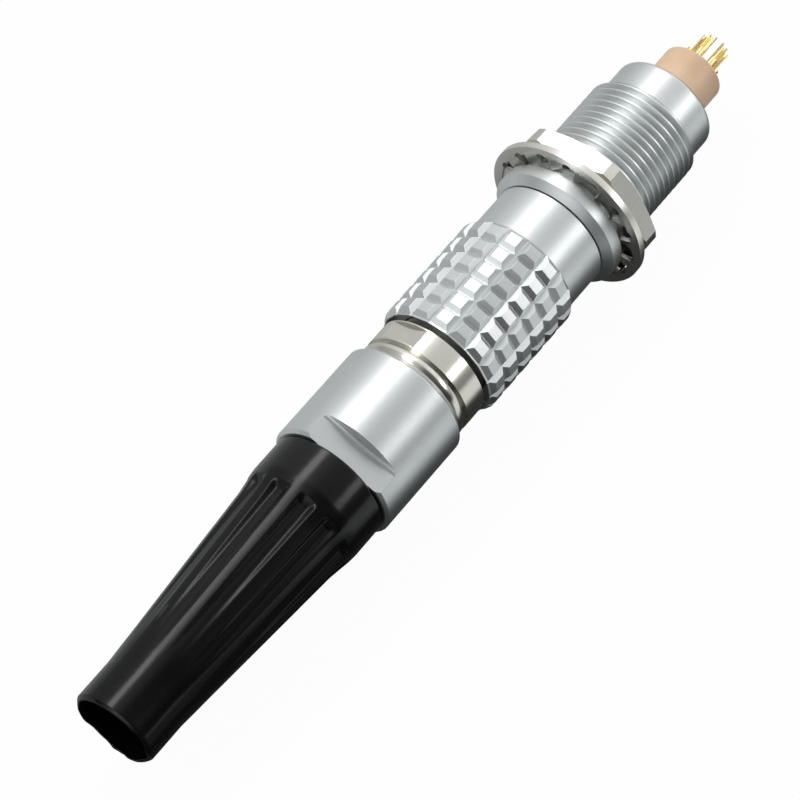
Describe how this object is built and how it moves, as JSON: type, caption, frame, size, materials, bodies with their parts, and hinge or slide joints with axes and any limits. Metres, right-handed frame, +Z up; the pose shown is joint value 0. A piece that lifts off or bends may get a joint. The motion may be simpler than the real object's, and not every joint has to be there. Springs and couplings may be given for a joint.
{
  "type": "push-pull circular connector",
  "caption": "Miniature circular connector: cable plug with knurled release sleeve and bend relief boot, latched in a threaded panel receptacle with lock washer and nut.",
  "frame": {"origin": "on the connector's axis, at the face of the receptacle's flange that seats on the panel", "axes": "+X along the connector's axis towards the solder cups of the receptacle, +Z up towards one latch hook"},
  "size_m": [0.0681, 0.0125, 0.0124],
  "materials": {
    "satin_chrome": "matt chrome plating on brass, satin",
    "nickel": "bright nickel plating on brass",
    "washer_nickel": "nickel plating on bronze strip",
    "gold": "gold plating, bright",
    "insulator": "tan moulded plastic, matt",
    "boot_rubber": "black rubber, semi-gloss"
  },
  "bodies": {
    "receptacle": {"receptacle_shell": "satin_chrome", "receptacle_insulator": "insulator", "earthing_crown": "nickel", "retaining_ring": "nickel", "socket_contact_1": "gold", "socket_contact_2": "gold", "socket_contact_3": "gold", "socket_contact_4": "gold", "socket_contact_5": "gold", "socket_contact_6": "gold"},
    "lock_washer": {"lock_washer": "washer_nickel"},
    "panel_nut": {"panel_nut": "nickel"},
    "plug": {"latch_sleeve": "nickel", "insert_carrier_upper": "nickel", "insert_carrier_lower": "nickel", "plug_insulator": "insulator", "collet": "nickel", "pin_contact_1": "gold", "pin_contact_2": "gold", "pin_contact_3": "gold", "pin_contact_4": "gold", "pin_contact_5": "gold", "pin_contact_6": "gold"},
    "release_sleeve": {"release_sleeve": "satin_chrome"},
    "bend_relief": {"bend_relief": "boot_rubber"},
    "collet_nut": {"collet_nut": "satin_chrome"}
  },
  "joints": [
    {"name": "plug_withdraw", "type": "slide", "parent": "receptacle", "child": "plug", "axis": [-1, 0, 0], "range_m": [0, 0.012], "deforming": ["latch_sleeve"]},
    {"name": "sleeve_release", "type": "slide", "parent": "plug", "child": "release_sleeve", "axis": [-1, 0, 0], "range_m": [0, 0.0012], "stiffness_N_per_m": 2500, "deforming": ["latch_sleeve"]},
    {"name": "washer_travel", "type": "slide", "parent": "receptacle", "child": "lock_washer", "axis": [1, 0, 0], "range_m": [0, 0.0069]},
    {"name": "nut_turn", "type": "hinge", "parent": "lock_washer", "child": "panel_nut", "pos_m": [0, 0, 0], "axis": [1, 0, 0], "range_deg": [0, 4141]},
    {"name": "boot_travel", "type": "slide", "parent": "plug", "child": "bend_relief", "axis": [-1, 0, 0], "range_m": [0, 0.00375]},
    {"name": "collet_nut_turn", "type": "hinge", "parent": "bend_relief", "child": "collet_nut", "pos_m": [0, 0, 0], "axis": [-1, 0, 0], "range_deg": [0, 2701]}
  ],
  "couplings": [
    {"joint": "nut_turn", "follows": "washer_travel", "rad_per_m": 10472},
    {"joint": "collet_nut_turn", "follows": "boot_travel", "rad_per_m": 12566}
  ]
}
